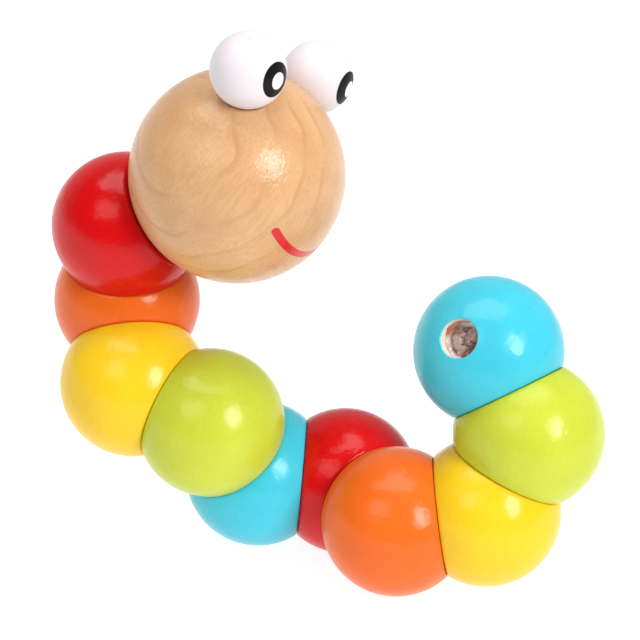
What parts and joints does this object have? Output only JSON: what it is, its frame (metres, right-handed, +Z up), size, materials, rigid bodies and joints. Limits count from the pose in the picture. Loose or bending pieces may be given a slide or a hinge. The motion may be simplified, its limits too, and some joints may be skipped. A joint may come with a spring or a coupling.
{
  "type": "jointed wooden worm",
  "caption": "Wooden twist worm toy: a natural wood head with bead eyes and a chain of coloured balls that turn on slanted flat joints, held together by an inner elastic cord.",
  "frame": {"origin": "middle of the bounding box's base, on the surface that the toy stands on", "axes": "+Z up, +X along the box's longest side, from the head's side to the tail's side, -Y towards the side that the face looks to"},
  "size_m": [0.1322, 0.0684, 0.1289],
  "materials": {
    "lacquer_red": "gloss",
    "lacquer_orange": "gloss",
    "lacquer_yellow": "gloss",
    "lacquer_green": "gloss",
    "lacquer_blue": "gloss",
    "natural_wood": "gloss",
    "eye_white": "gloss",
    "dowel_wood": "matte",
    "elastic_cord": "matte",
    "glue": "gloss"
  },
  "bodies": {
    "head": {"head_ball": "natural_wood", "eye_left": "eye_white", "eye_left_dowel": "dowel_wood", "eye_right": "eye_white", "eye_right_dowel": "dowel_wood", "neck_cord": "elastic_cord", "neck_knot": "elastic_cord", "neck_glue": "glue"},
    "segment_01": {"segment_01_red": "lacquer_red", "cord_01": "elastic_cord"},
    "segment_02": {"segment_02_orange": "lacquer_orange", "cord_02": "elastic_cord"},
    "segment_03": {"segment_03_yellow": "lacquer_yellow", "cord_03": "elastic_cord"},
    "segment_04": {"segment_04_green": "lacquer_green", "cord_04": "elastic_cord"},
    "segment_05": {"segment_05_blue": "lacquer_blue", "cord_05": "elastic_cord"},
    "segment_06": {"segment_06_red": "lacquer_red", "cord_06": "elastic_cord"},
    "segment_07": {"segment_07_orange": "lacquer_orange", "cord_07": "elastic_cord"},
    "segment_08": {"segment_08_yellow": "lacquer_yellow", "cord_08": "elastic_cord"},
    "segment_09": {"segment_09_green": "lacquer_green", "cord_09": "elastic_cord"},
    "segment_10": {"segment_10_blue": "lacquer_blue", "cord_10": "elastic_cord", "tail_knot": "elastic_cord", "tail_glue": "glue"}
  },
  "joints": [
    {"name": "neck_turn", "type": "hinge", "parent": "segment_01", "child": "head", "pos_m": [-0.04031, 0.01023, 0.07977], "axis": [-0.7893, 0.2404, -0.565], "continuous": true},
    {"name": "turn_01_02", "type": "hinge", "parent": "segment_02", "child": "segment_01", "pos_m": [-0.04829, 0.01473, 0.06345], "axis": [0.0328, 0.1855, -0.9821], "continuous": true},
    {"name": "turn_02_03", "type": "hinge", "parent": "segment_03", "child": "segment_02", "pos_m": [-0.04598, 0.00948, 0.04563], "axis": [0.1859, -0.6826, -0.7068], "continuous": true},
    {"name": "turn_03_04", "type": "hinge", "parent": "segment_04", "child": "segment_03", "pos_m": [-0.03449, -0.00158, 0.03585], "axis": [0.9042, -0.366, -0.2203], "continuous": true},
    {"name": "turn_04_05", "type": "hinge", "parent": "segment_05", "child": "segment_04", "pos_m": [-0.0189, -0.0022, 0.02551], "axis": [0.5736, 0.3069, -0.7595], "continuous": true},
    {"name": "turn_05_06", "type": "hinge", "parent": "segment_06", "child": "segment_05", "pos_m": [-0.00229, 0.00103, 0.0175], "axis": [1, 0, 0], "continuous": true},
    {"name": "turn_06_07", "type": "hinge", "parent": "segment_06", "child": "segment_07", "pos_m": [0.01431, -0.00761, 0.0175], "axis": [0.5736, -0.8192, 0], "continuous": true},
    {"name": "turn_07_08", "type": "hinge", "parent": "segment_07", "child": "segment_08", "pos_m": [0.0306, -0.01647, 0.02003], "axis": [0.9707, -0.0205, 0.2395], "continuous": true},
    {"name": "turn_08_09", "type": "hinge", "parent": "segment_08", "child": "segment_09", "pos_m": [0.04474, -0.01481, 0.03218], "axis": [0.3696, 0.1772, 0.9121], "continuous": true},
    {"name": "turn_09_10", "type": "hinge", "parent": "segment_09", "child": "segment_10", "pos_m": [0.04326, -0.00859, 0.04976], "axis": [-0.5094, 0.413, 0.755], "continuous": true}
  ]
}
